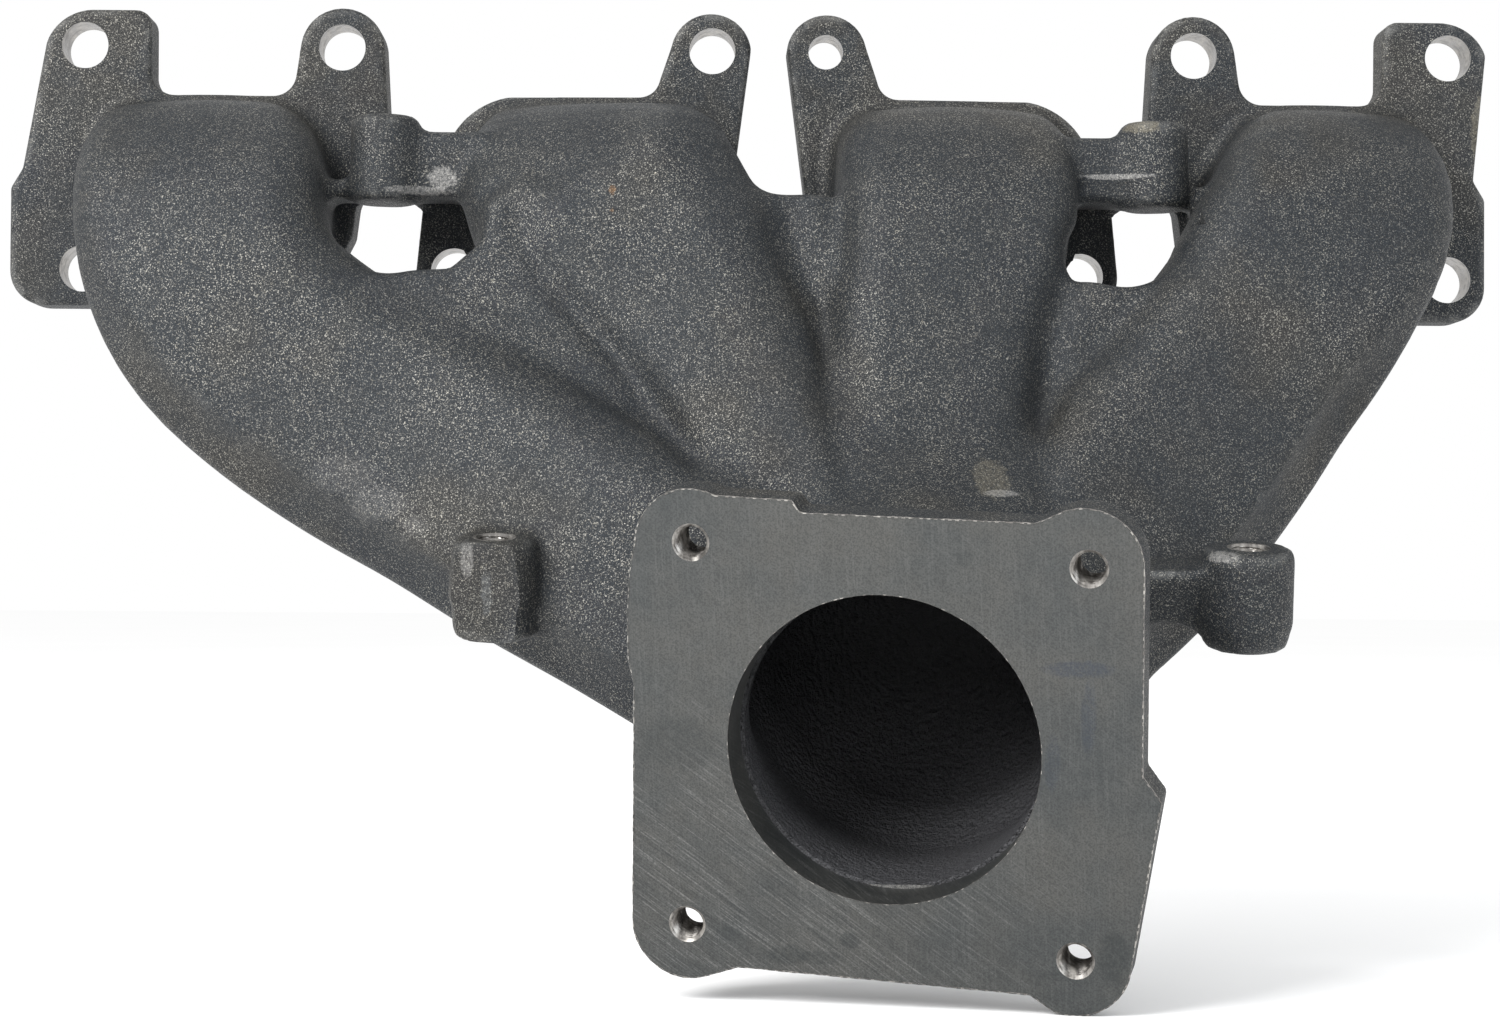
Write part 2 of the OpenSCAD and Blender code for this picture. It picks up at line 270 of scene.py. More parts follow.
def runner_field(p, path, outer_side):
    """Runner with a gently crowned front, drafted sides and round corners.

    The side that faces away from the other runners, if there is one, has a flat band along its front edge,
    set back a little behind the parting line.
    """
    across, deep, past, half_w, half_d, station = runner_section(p, path)
    leaving = np.clip((station - 1.5) / 3.0, 0, 1)
    corner = 8.0 + 2.0 * leaving
    crown = 3.0
    draft = 1.5 + 3.5 * leaving
    if outer_side:
        outside = across * outer_side > 0
        corner = np.where(outside, corner - 4.5 * leaving, corner)
        draft = np.where(outside, draft - 2.5 * leaving, draft)
    side = half_w - draft * np.clip(deep / half_d, -1.2, 1.2) ** 2
    front = half_d - crown * np.clip(across / half_w, -1.2, 1.2) ** 2
    ends = np.where(past > -12, past + corner, -corner)
    whole = rounded(corner, np.abs(across) - (side - corner), np.abs(deep) - (front - corner), ends)
    if outer_side:
        past_parting = across * outer_side - half_w + 11.0
        band = past_parting * 0.79 + (-deep - half_d + 1.7) * 0.61
        whole = cut_by(whole, -(band - 6 * (1 - leaving)), 0.8)
        step = np.clip(past_parting / 0.6, 0, 1) * np.clip((-deep - 7) / 4.0, 0, 1)
        whole = whole + 1.5 * step * leaving
    return whole


def blurred(value, spread):
    """A grid smoothed along each axis by a bell of the given spread, in cells."""
    reach = int(math.ceil(2.5 * spread))
    weights = np.exp(-0.5 * (np.arange(-reach, reach + 1) / spread) ** 2)
    weights = (weights / weights.sum()).astype(np.float32)
    for axis in range(3):
        padded = np.pad(value, [(reach, reach) if a == axis else (0, 0) for a in range(3)], mode="edge")
        total = np.zeros_like(value)
        for k, w in enumerate(weights):
            cut = [slice(None)] * 3
            cut[axis] = slice(k, k + value.shape[axis])
            total += w * padded[tuple(cut)]
        value = total
    return value


class Field:
    """Distance field on a grid, filled box by box."""

    def __init__(self, low, high, cell):
        self.low = np.array(low, float)
        self.cell = cell
        self.count = [int(math.ceil((h - l) / cell)) + 1 for l, h in zip(low, high)]
        self.value = np.full(self.count, FAR, np.float32)

    def block(self, low, high):
        """Slices of the grid over a box, and the coordinates there."""
        cut = []
        axes = []
        for i in range(3):
            a = max(0, int((low[i] - self.low[i]) / self.cell))
            b = min(self.count[i], int((high[i] - self.low[i]) / self.cell) + 2)
            cut.append(slice(a, b))
            shape = [1, 1, 1]
            shape[i] = b - a
            places = self.low[i] + self.cell * np.arange(a, b, dtype=np.float32)
            axes.append(places.reshape(shape).astype(np.float32))
        return tuple(cut), axes

    def add(self, other, cut, fillet):
        """Joins another field over a block."""
        self.value[cut] = joined(self.value[cut], other, fillet)

    def sample(self, points):
        """Values between the grid's points."""
        g = (points - self.low) / self.cell
        g = np.clip(g, 0, np.array(self.count) - 1.001)
        i = g.astype(np.int32)
        f = g - i
        total = 0
        for corner in np.ndindex(2, 2, 2):
            weight = 1
            for axis, ahead in enumerate(corner):
                weight = weight * (f[:, axis] if ahead else 1 - f[:, axis])
            at = tuple(i[:, axis] + ahead for axis, ahead in enumerate(corner))
            total = total + weight * self.value[at]
        return total

    def slope(self, points, step):
        """Direction in which the field grows."""
        out = []
        for i in range(3):
            d = np.zeros(3)
            d[i] = step
            out.append(self.sample(points + d) - self.sample(points - d))
        return np.stack(out, 1) / (2 * step)

    def mesh(self, name):
        """The zero surface as a closed mesh object, in metres."""
        grid = openvdb.FloatGrid()
        grid.background = FAR
        grid.copyFromArray(np.clip(self.value, -FAR, FAR))
        points, quads = grid.convertToQuads(isovalue=0.0)
        points = points * self.cell + self.low
        for _ in range(2):
            slope = self.slope(points, 0.5 * self.cell)
            norm = np.maximum((slope ** 2).sum(1), 0.25)
            shift = -(self.sample(points) / norm)[:, None] * slope
            points = points + np.clip(shift, -0.3 * self.cell, 0.3 * self.cell)
        mesh = bpy.data.meshes.new(name)
        mesh.from_pydata([], [], [])
        mesh.vertices.add(len(points))
        mesh.vertices.foreach_set("co", (points * MM).astype(np.float32).ravel())
        mesh.loops.add(len(quads) * 4)
        mesh.loops.foreach_set("vertex_index", quads.astype(np.int32).ravel())
        mesh.polygons.add(len(quads))
        mesh.polygons.foreach_set("loop_start", np.arange(0, len(quads) * 4, 4, dtype=np.int32))
        mesh.update(calc_edges=True)
        mesh.validate()
        return shown(name, mesh)


# ---- cutters and carving


def shown(name, data):
    """An object of the scene for a mesh, light or camera."""
    obj = bpy.data.objects.new(name, data)
    bpy.context.scene.collection.objects.link(obj)
    return obj


def link(name, bm):
    """A mesh object from a bmesh, its faces turned outwards."""
    bmesh.ops.recalc_face_normals(bm, faces=bm.faces)
    mesh = bpy.data.meshes.new(name)
    bm.to_mesh(mesh)
    bm.free()
    return shown(name, mesh)


def stitch(bm, rings):
    """Faces between each ring of vertices and the next."""
    for a, b in zip(rings, rings[1:]):
        for k in range(len(a)):
            j = (k + 1) % len(a)
            bm.faces.new((a[k], a[j], b[j], b[k]))


def bar(origin, axes, radius, start, end, sides=96):
    """Closed round bar along the second axis, from start to end."""
    bm = bmesh.new()
    rings = []
    for depth in (start, end):
        ring = []
        for k in range(sides):
            a = 2 * math.pi * k / sides
            p = origin + axes[0] * radius * math.cos(a) + axes[1] * depth + axes[2] * radius * math.sin(a)
            ring.append(bm.verts.new(Vector(p * MM)))
        rings.append(ring)
    stitch(bm, rings)
    for ring in rings:
        bmesh.ops.triangle_fill(bm, edges=[e for e in {e for v in ring for e in v.link_edges}
                                           if all(v in ring for v in e.verts)], use_beauty=True)
    return link("cutter", bm)


def prism(points, low, high):
    """Closed prism over an outline in x and z, from y = low to y = high."""
    bm = bmesh.new()
    rings = [[bm.verts.new((x * MM, y * MM, z * MM)) for x, z in points] for y in (low, high)]
    stitch(bm, rings)
    caps = [bm.faces.new(rings[0]), bm.faces.new(rings[1][::-1])]
    bmesh.ops.triangulate(bm, faces=caps)
    return link("cutter", bm)


def box_cutter(low, high):
    """Closed box between two corners."""
    corners = [(low[0], low[2]), (high[0], low[2]), (high[0], high[2]), (low[0], high[2])]
    return prism(corners, low[1], high[1])


def egg(centre, radius, toward):
    """Closed round body with a taper towards a point."""
    bm = bmesh.new()
    bmesh.ops.create_icosphere(bm, subdivisions=5, radius=radius * MM)
    axis = Vector(toward - centre).normalized()
    reach = np.linalg.norm(toward - centre) * MM
    for v in bm.verts:
        ahead = v.co.dot(axis)
        if ahead > 0:
            part = ahead / (radius * MM)
            flat = v.co - axis * ahead
            v.co = flat + axis * (ahead + part * reach)
        v.co += Vector(centre * MM)
    return link("cutter", bm)


def boolean(obj, cutter, operation, keep_cutter=False):
    """Applies one boolean to obj."""
    mod = obj.modifiers.new("cut", "BOOLEAN")
    mod.operation = operation
    mod.solver = "MANIFOLD"
    mod.object = cutter
    dg = bpy.context.evaluated_depsgraph_get()
    result = bpy.data.meshes.new_from_object(obj.evaluated_get(dg))
    obj.modifiers.clear()
    old = obj.data
    obj.data = result
    bpy.data.meshes.remove(old)
    if not keep_cutter:
        drop(cutter)


def without_crumbs(obj, least):
    """Removes loose bits of fewer vertices than least, left where two cutters nearly meet."""
    bm = bmesh.new()
    bm.from_mesh(obj.data)
    seen = set()
    for start in bm.verts:
        if start in seen:
            continue
        seen.add(start)
        bit = [start]
        for v in bit:
            for e in v.link_edges:
                other = e.other_vert(v)
                if other not in seen:
                    seen.add(other)
                    bit.append(other)
        if len(bit) < least:
            for v in bit:
                v.tag = True
    bmesh.ops.delete(bm, geom=[v for v in bm.verts if v.tag], context="VERTS")
    bm.to_mesh(obj.data)
    bm.free()


def drop(obj):
    """Removes an object and its mesh."""
    mesh = obj.data
    bpy.data.objects.remove(obj)
    bpy.data.meshes.remove(mesh)


def carve(rest, name, cutter):
    """Takes the part of rest inside the cutter off as a piece of its own."""
    piece = shown(name, rest.data.copy())
    boolean(piece, cutter, "INTERSECT", keep_cutter=True)
    boolean(rest, cutter, "DIFFERENCE")
    return piece


def thread_sleeve(origin, out, across, depth):
    """Closed sleeve with a helical thread inside, its mouth flush with a face at origin."""
    up = np.cross(out, across)
    sides, turn_steps = 40, 8
    rows = int(depth / THREAD_PITCH * turn_steps)
    outer = THREAD_R + SLEEVE_WALL
    bm = bmesh.new()

    def vert(radius, angle, down):
        p = origin + (across * math.cos(angle) + up * math.sin(angle)) * radius - out * down
        return bm.verts.new(Vector(p * MM))

    rings = []
    for row in range(rows + 1):
        down = depth * row / rows
        ring = []
        for k in range(sides):
            angle = 2 * math.pi * k / sides
            phase = (down / THREAD_PITCH + k / sides) % 1.0
            ridge = THREAD_R + 1.3 * abs(phase - 0.5)
            mouth = THREAD_R + 0.95 - down * 1.1
            ring.append(vert(max(ridge, mouth), angle, down))
        rings.append(ring)
    for down in (depth, 0.0):
        rings.append([vert(outer, 2 * math.pi * k / sides, down) for k in range(sides)])
    stitch(bm, rings + rings[:1])
    return link("sleeve", bm)


def burr(points, thick):
    """Thin ragged bead of turned-over metal along a closed line of x and z, at y = 0."""
    n = len(points)
    bm = bmesh.new()
    rings = []
    for k in range(n):
        ahead = points[(k + 1) % n] - points[k - 1]
        side = np.array((ahead[1], -ahead[0])) / np.linalg.norm(ahead)
        radius = thick * (1 + 0.2 * math.sin(1.7 * k) + 0.25 * math.sin(0.37 * k))
        ring = []
        for a in range(6):
            out, up = radius * math.cos(a * math.pi / 3), radius * math.sin(a * math.pi / 3)
            x, z = points[k] + side * out
            ring.append(bm.verts.new((x * MM, (up + 0.08) * MM, z * MM)))
        rings.append(ring)
    stitch(bm, rings + rings[:1])
    return link("burr", bm)


def evenly(points, step):
    """A closed line cut into pieces of one length."""
    closed = np.vstack([points, points[:1]])
    reach = np.concatenate([[0], np.cumsum(np.linalg.norm(np.diff(closed, axis=0), axis=1))])
    at = np.arange(0, reach[-1] - step / 2, step)
    return np.stack([np.interp(at, reach, closed[:, i]) for i in (0, 1)], 1)


def merged(name, objects):
    """Several objects as one, with their materials."""
    bpy.ops.object.select_all(action="DESELECT")
    for o in objects:
        o.select_set(True)
    bpy.context.view_layer.objects.active = objects[0]
    bpy.ops.object.join()
    objects[0].name = name
    return objects[0]


# ---- the casting ahead of the port flanges


def plate_outline(node, origin, axes):
    """Outer outline of a CAD flange's front face, along two axes from an origin."""
    bm = bmesh.new()
    bm.from_mesh(frame["nodes"][node].data)
    bmesh.ops.remove_doubles(bm, verts=bm.verts, dist=1e-6)
    bm.normal_update()
    out = Vector(-axes[1])
    rim = []
    for e in bm.edges:
        ahead = [f.normal.dot(out) > 0.99 for f in e.link_faces]
        if len(ahead) == 2 and ahead[0] != ahead[1]:
            rim.append(e)
    front = max(Vector(e.verts[0].co).dot(out) for e in rim)
    rim = [e for e in rim if all(v.co.dot(out) > front - 1e-4 for v in e.verts)]
    neighbours = {}
    for e in rim:
        a, b = e.verts
        neighbours.setdefault(a, []).append(b)
        neighbours.setdefault(b, []).append(a)
    loops = []
    left = dict.fromkeys(neighbours)
    while left:
        loop = [left.popitem()[0]]
        while True:
            following = [v for v in neighbours[loop[-1]] if v in left]
            if not following:
                break
            loop.append(following[0])
            del left[following[0]]
        offsets = [np.array(v.co) / MM - origin for v in loop]
        loops.append(np.array([(d @ axes[0], d @ axes[2]) for d in offsets]))
    bm.free()
    return max(loops, key=lambda flat: np.ptp(flat, axis=0).sum())


def around(points, margin, low_y, high_y):
    """Corners of a box over points in x and z, with a margin."""
    low, high = np.min(points, axis=0) - margin, np.max(points, axis=0) + margin
    return (low[0], low_y, low[1]), (high[0], high_y, high[1])


def outline_field(u, v, points):
    """Signed distance to an outline in its plane."""
    shape = np.broadcast_shapes(np.shape(u), np.shape(v))
    best = np.full(shape, 1e9, np.float32)
    inside = np.zeros(shape, bool)
    for a, b in zip(points, np.roll(points, -1, axis=0)):
        seg = b - a
        if seg @ seg < 1e-9:
            continue
        best = np.minimum(best, along_segment((u, v), a, b)[1])
        crosses = (a[1] > v) != (b[1] > v)
        if a[1] != b[1]:
            inside ^= crosses & (u < a[0] + (v - a[1]) * seg[0] / seg[1])
    return np.where(inside, -1, 1) * np.sqrt(best)


PORT_OUTLINES = [plate_outline(f"port_flange_{i + 1}", np.zeros(3), ROW_AXES) for i in range(4)]
OUTLET_OUTLINE = plate_outline("outlet_flange", OUTLET_AT, OUTLET_AXES)


PATHS = [smooth_path(points, PORT_X[i]) for i, points in enumerate(RUNNERS)]


def bulb_and_neck(p, bulb_r, neck_r, middle, half):
    """Round bulb joined to a round bar behind the outlet, given by its middle and half its length."""
    across, deep, up = local(p, OUTLET_AT, OUTLET_AXES)
    bulb = length(*[p[i] - BULB_AT[i] for i in range(3)]) - bulb_r
    return joined(bulb, disc_field(length(across, up), deep - middle, neck_r, half, 6), 14)


def leaning_web(p, outline, y, thickness, lean):
    """Flat web that leans forward from the gasket face."""
    a = math.radians(lean)
    flat_z = p[2] * math.cos(a) - (p[1] - y) * math.sin(a)
    flat_y = (p[1] - y) * math.cos(a) + p[2] * math.sin(a)
    flat = outline_field(p[0], flat_z, np.array(outline, float))
    return plate_field(flat, -flat_y, thickness, 3.5)


WEBS = [
    ([(-106, -40), (-98, -37.5), (-88, -35.5), (-79, -35), (-71.5, -28), (-70, -18), (-62, -12), (-40, -20),
      (-10, -62), (-10, -84), (-40, -80)], -42, 9, -14),
    ([(-20, -14), (30, -14), (30, -90), (0, -90)], -36, 9, -14),
    ([(60, -18), (70, -30), (76, -36), (86, -38), (98, -37), (106, -32), (116, -22), (100, -66), (60, -96),
      (50, -90)], -39, 9, -14),
]
# Creases where runners and webs meet: x and z along each, then depth and half width
CREASES = [
    ([(-62.5, -19), (-60.5, -27), (-49, -42), (-33.5, -59), (-18.5, -80)], 2.6, 3.4),
    ([(-78, -37), (-64, -43), (-51, -49)], 0.7, 2.5),
    ([(4.5, -18), (7.5, -30), (13, -43), (12.5, -64), (18, -88)], 2.0, 3.2),
    ([(16.5, -14), (18, -31), (14, -41)], 1.4, 3.0),
    ([(75.5, -24), (68, -48), (65.7, -68), (64.5, -88)], 2.4, 3.6),
    ([(102, -29), (87, -43.5), (79.5, -53)], 1.6, 3.2),
]
UPPER_BOSSES = [place("shield_thread_upper_left"), place("shield_thread_upper_right")]
LOWER_BOSSES = [place("shield_thread_lower_left"), place("shield_thread_lower_right")]
BOSS_UP = direction("shield_thread_lower_left")
BOSS_ACROSS = np.array([1.0, 0, 0])
BOSS_AXES = (BOSS_ACROSS, np.cross(BOSS_UP, BOSS_ACROSS), BOSS_UP)
THREAD_DEPTH = size_of("shield_thread_lower_left", "length_mm")
BOSS_TOP = THREAD_DEPTH / 2
UPPER_BOSS_R, UPPER_BOSS_H = 8.75, 22.0
LOWER_BOSS_R, LOWER_BOSS_H = 11.0, 24.0
# Each boss: its mount, its way up, its way across, the radius that cuts it free and its height
UPRIGHT = (ROW_AXES[2], BOSS_ACROSS, UPPER_BOSS_R + 1, UPPER_BOSS_H)
LEANING = (BOSS_UP, BOSS_ACROSS, LOWER_BOSS_R + 1.2, LOWER_BOSS_H)
BOSSES = {
    "upper_boss_left": (UPPER_BOSSES[0], *UPRIGHT),
    "upper_boss_right": (UPPER_BOSSES[1], *UPRIGHT),
    "lower_boss_left": (LOWER_BOSSES[0], *LEANING),
    "lower_boss_right": (LOWER_BOSSES[1], *LEANING),
}


def from_line(u, v, points):
    """Distance to an open line of points in a plane."""
    best = np.full(np.broadcast_shapes(np.shape(u), np.shape(v)), 1e9, np.float32)
    for a, b in zip(points, points[1:]):
        best = np.minimum(best, np.sqrt(along_segment((u, v), a, b)[1]))
    return best


def upper_boss(p, at):
    """Vertical boss, its top at half a thread above the mount."""
    middle = at[2] + BOSS_TOP - UPPER_BOSS_H / 2
    return disc_field(length(p[0] - at[0], p[1] - at[1]), p[2] - middle, UPPER_BOSS_R, UPPER_BOSS_H / 2, 2.2)


def lower_boss(p, at, parting_up, taper):
    """Leaning boss, widest at its parting line, with a fine ridge of flash there."""
    x, y, z = local(p, at + BOSS_UP * (BOSS_TOP - LOWER_BOSS_H / 2), BOSS_AXES)
    from_parting = z + LOWER_BOSS_H / 2 - parting_up
    narrowing = np.where(from_parting > 0, taper * from_parting, 0.7 - 0.05 * from_parting)
    ridge = 0.3 * np.exp(-(from_parting / 0.8) ** 2)
    return disc_field(length(x, y) + narrowing - ridge, z, LOWER_BOSS_R, LOWER_BOSS_H / 2, 1.9)


def bridge(p, side):
    """Bar from an upper boss to the inner runner, with a low ledge to the outer one."""
    x = p[0] * side
    whole = box_field((x - 83, p[1] + 28, p[2] + 4.3), (14, 9, 8.4), 2.2)
    whole = joined(whole, box_field((x - 103, p[1] + 26, p[2] + 10.2), (12, 8, 2.4), 1.6), 1.6)
    whole = joined(whole, box_field((x - 97, p[1] + 19, p[2] + 7.0), (9, 10, 4.0), 1.6), 1.6)
    if side > 0:
        flash = box_field((x - 88, p[1] + 37.4, p[2] + 6.2), (12, 1.4, 0.6), 0.4)
        whole = joined(whole, flash, 0.4)
    return whole


def casting():
    """The whole casting ahead of the port flanges, as a field."""
    field = Field((-188, -148, -206), (186, 6, 34), CASTING_CELL)
    gas = Field((-188, -148, -206), (186, 6, 34), CASTING_CELL)
    margin = 50
    for i, outer_side in enumerate((-1, 0, 0, 1)):
        cut, p = field.block(PATHS[i][:, :3].min(0) - margin, PATHS[i][:, :3].max(0) + margin)
        distance = runner_field(p, PATHS[i], outer_side)
        if i in SHOULDERS:
            at, out = SHOULDERS[i]
            above = (p[0] - at[0]) * out[0] + (p[2] - at[1]) * out[1] - 2.5 * np.maximum(-10 - p[2], 0)
            distance = cut_by(distance, -above, RUNNER_FILLET)
        field.add(distance, cut, RUNNER_FILLET)
        gas.add(distance + WALL, cut, RUNNER_FILLET)
    cut, p = field.block((-60, -80, -60), (30, -10, 30))
    field.add(capsule(p, *SHOULDER_2), cut, 8)
    cut, p = field.block((-24, -136, -200), (96, -10, -60))
    field.add(bulb_and_neck(p, BULB_R, NECK_R, 30, 40), cut, COLLECTOR_FILLET)
    gas.add(bulb_and_neck(p, BULB_R - WALL, CAVITY_R, 0, 50), cut, 8)
    gas.add(capsule(p, PATHS[0][-1, :3], BULB_AT, LEAD_IN_R), cut, 8)
    for outline, y, thickness, lean in WEBS:
        xs = [q[0] for q in outline]
        zs = [q[1] for q in outline]
        cut, p = field.block((min(xs) - 12, -80, min(zs) - 12), (max(xs) + 12, -14, max(zs) + 24))
        field.add(leaning_web(p, outline, y, thickness, lean), cut, WEB_FILLET)
    for points, depth, width in CREASES:
        cut, p = field.block(*around(points, 12, -110, -30))
        field.value[cut] += depth * np.exp(-(from_line(p[0], p[2], points) / width) ** 2)
    for side, at in zip((-1, 1), UPPER_BOSSES):
        cut, p = field.block((at[0] - 44, -60, -34), (at[0] + 44, 0, 26))
        field.add(joined(upper_boss(p, at), bridge(p, side), BOSS_FILLET), cut, BOSS_FILLET)
    for at, parting_up, taper in zip(LOWER_BOSSES, (9.5, 5.0), (0.085, 0.012)):
        cut, p = field.block(at - 34, at + 34)
        field.add(lower_boss(p, at, parting_up, taper), cut, 3.0)
    at = LOWER_BOSSES[1] + BOSS_UP * (BOSS_TOP - LOWER_BOSS_H / 2)
    cut, p = field.block(at - 50, at + 30)
    x, y, z = local(p, at, BOSS_AXES)
    arch = 3.0 * np.clip(1 - ((x + 19) / 9) ** 2, 0, 1)
    arm = box_field((x + 15, y - 10, z + 1.5 - arch / 2), (15, 16, 8.5 - arch / 2), 2.2)
    field.add(cut_by(arm, (y + 4.5) * 0.90 + (z - 7) * 0.43, 1.0), cut, 1.8)
    sunk = 0.12
    for i, outline in enumerate(PORT_OUTLINES):
        cut, p = field.block(*around(outline, 12, -34, 6))
        flat = outline_field(p[0], p[2], outline)
        field.add(plate_field(flat, p[1] + FLANGE_T - sunk, FLANGE_T, 1.5), cut, 5)
    cut, p = field.block((-60, -150, -206), (110, -60, -60))
    across, deep, up = local(p, OUTLET_AT, OUTLET_AXES)
    flat = outline_field(across, up, OUTLET_OUTLINE)
    field.add(plate_field(flat, deep + sunk, OUTLET_T, 1.5), cut, 6)
    field.value = blurred(np.clip(field.value, -FAR, 12), 0.7)
    bend = bend_of(field)
    field.value = cut_by(field.value, gas.value, 1.0)
    return field, bend


def bend_of(field):
    """A field that is positive on outer edges, negative in creases and very negative inside."""
    out = Field(field.low, field.low + 1, field.cell)
    out.count = field.count
    out.value = blurred(np.clip(field.value, -8, 8), BEND_SPREAD / field.cell)
    return out


# Borders between regions: x and z, from top to bottom
EDGE1 = [(-107, -20), (-98, -33), (-78, -40), (-58, -50), (-38, -62), (-22, -75)]
EDGE2 = [(-72, -20), (-63, -22), (-56, -34), (-48, -46), (-38, -55), (-29, -63), (-22, -75)]
EDGE3 = [(-5, -6), (2, -24), (7, -38), (11, -58)]
EDGE4 = [(18, -6), (15, -30), (13, -45), (11, -58)]
EDGE5 = [(72, -20), (70, -34), (69, -45), (67, -58), (65, -72), (62, -86)]
EDGE6 = [(107, -20), (98, -31), (89, -40), (83, -47), (76, -57), (71, -66), (66, -76), (62, -86)]


def down_boss(name, radius, start, end, sides=96):
    """Closed round bar down a boss, its start and end measured from the boss's top."""
    at, up, across, _, _ = BOSSES[name]
    return bar(at + up * BOSS_TOP, (across, -up, np.cross(across, -up)), radius, start, end, sides)


def casting_pieces():
    """The casting carved into one closed piece per node."""
    field, bend = casting()
    rest = field.mesh("rest")
    boolean(rest, box_cutter((-230, -200, -240), (230, -FLANGE_T, 60)), "INTERSECT")
    behind = bar(OUTLET_AT, OUTLET_AXES, 500, OUTLET_T, 500, 48)
    boolean(rest, behind, "INTERSECT")
    for name in BOSSES:
        boolean(rest, down_boss(name, THREAD_R + SLEEVE_WALL, -1, THREAD_DEPTH, 40), "DIFFERENCE")
    neck = bar(OUTLET_AT, OUTLET_AXES, 56, -2, OUTLET_T + NECK_LEN)
    pieces = {"outlet_neck": carve(rest, "outlet_neck", neck)}
    for name, (_, _, _, radius, height) in BOSSES.items():
        pieces[name] = carve(rest, name, down_boss(name, radius, -3, height + 2.5))
    at = LOWER_BOSSES[1]
    arm = box_cutter(at + (-30, -22, -24), at + (2, 8, 16))
    pieces["lower_boss_arm"] = carve(rest, "lower_boss_arm", arm)
    bulb = egg(np.array(BULB_AT, float), BULB_R + 1.5, OUTLET_AT - OUTLET_OUT * (OUTLET_T + NECK_LEN))
    pieces["collector"] = carve(rest, "collector", bulb)
    for side, name in ((-1, "bridge_left"), (1, "bridge_right")):
        xs = sorted((side * 72.0, side * 107.0))
        pieces[name] = carve(rest, name, box_cutter((xs[0], -48, -20), (xs[1], 0, 14)))
    top, bottom, left = 80, -260, -260
    low_1 = [(0, -92), (10, -108), (10, bottom), (left, bottom)]
    low_2 = [(0, -92), (10, -108), (13, -95), (12.5, -75)]
    low_3 = [(12.5, -75), (13, -95), (20, -112), (50, -115), (56, -100)]
    outlines = {
        "runner_1": [(left, top), (EDGE1[0][0], top)] + EDGE1 + low_1,
        "web_1_2": EDGE1[:-1] + EDGE2[::-1],
        "runner_2": [(-107, top), (-107, -20)] + EDGE2 + low_2 + EDGE3[::-1] + [(-5, top)],
        "web_2_3": [(-5, 20)] + EDGE3 + EDGE4[:-1][::-1] + [(18, 20)],
        "runner_3": [(-5, top), (-5, 20), (18, 20)] + EDGE4 + low_3 + EDGE5[::-1]
                    + [(107, -20), (107, top)],
        "web_3_4": EDGE5 + EDGE6[:-1][::-1],
    }
    for name, outline in outlines.items():
        pieces[name] = carve(rest, name, prism(outline, -260, 60))
    rest.name = "runner_4"
    pieces["runner_4"] = rest
    for piece in pieces.values():
        without_crumbs(piece, 150)
    for name, (at, up, across, _, _) in BOSSES.items():
        sleeve = thread_sleeve(at + up * BOSS_TOP, up, across, THREAD_DEPTH)
        pieces[name] = merged(name, [pieces[name], sleeve])
    for piece in pieces.values():
        mark(piece, bend)
    return pieces


def read(items, key):
    """A vector of every vertex or face of a mesh, one row each."""
    out = np.zeros(len(items) * 3, np.float32)
    items.foreach_get(key, out)
    return out.reshape(-1, 3)


def mark(piece, bend):
    """Stores where the casting bends outwards or inwards, for its worn edges and for the painted shade in
    its creases and inside.
    """
    mesh = piece.data
    value = bend.sample(read(mesh.vertices, "co") / MM)
    layer = mesh.attributes.new("bend", "FLOAT", "POINT")
    layer.data.foreach_set("value", np.clip(value, -8, 4).astype(np.float32))


# ---- flanges


def cast_plate(outline, low_y, high_y, front, thickness, edge):
    """Field of a plate over an outline, its places and its bends, before anything is cut."""
    low, high = around(outline, 4, low_y, high_y)
    field = Field(low, high, FLANGE_CELL)
    cut, p = field.block(low, high)
    field.value[cut] = plate_field(outline_field(p[0], p[2], outline), p[1] - front, thickness, edge)
    return field, p, bend_of(field)


def port_flange(index):
    """Cast flange plate with a milled gasket face and drilled holes."""
    field, p, bend = cast_plate(PORT_OUTLINES[index], -FLANGE_T - 4, 6, -FLANGE_T, FLANGE_T + 6, 1.6)
    port = box_field((p[0] - PORT_X[index], p[1], p[2] - PORT_Z), (23, 40, 16.5), 13)
    field.value = cut_by(field.value, port, 0.8)
    obj = field.mesh(f"port_flange_{index + 1}")
    boolean(obj, box_cutter((-230, -40, -80), (230, 0, 80)), "INTERSECT")
    for x, z, radius in bolt_places(index):
        boolean(obj, bar(np.array((x, 0, z)), ROW_AXES, radius, -30, 10, 64), "DIFFERENCE")
    mark(obj, bend)
    return obj


def bolt_places(index):
    """Holes of one port flange: x, z and radius."""
    side = (size_of("head_studs", "spacing_x_mm") - 3 * PORT_PITCH) / 2
    x = PORT_X[index]
    if index in (0, 3):
        out = side if index == 3 else -side
        return [(x - side, BOLT_Z, BOLT_R), (x + side, BOLT_Z, BOLT_R), (x + out, -BOLT_Z, BOLT_R)]
    inner = -side if index == 2 else side
    return [(x + inner, BOLT_Z, LOCATING_R if index == 2 else BOLT_R), (x - inner, -BOLT_Z, BOLT_R)]


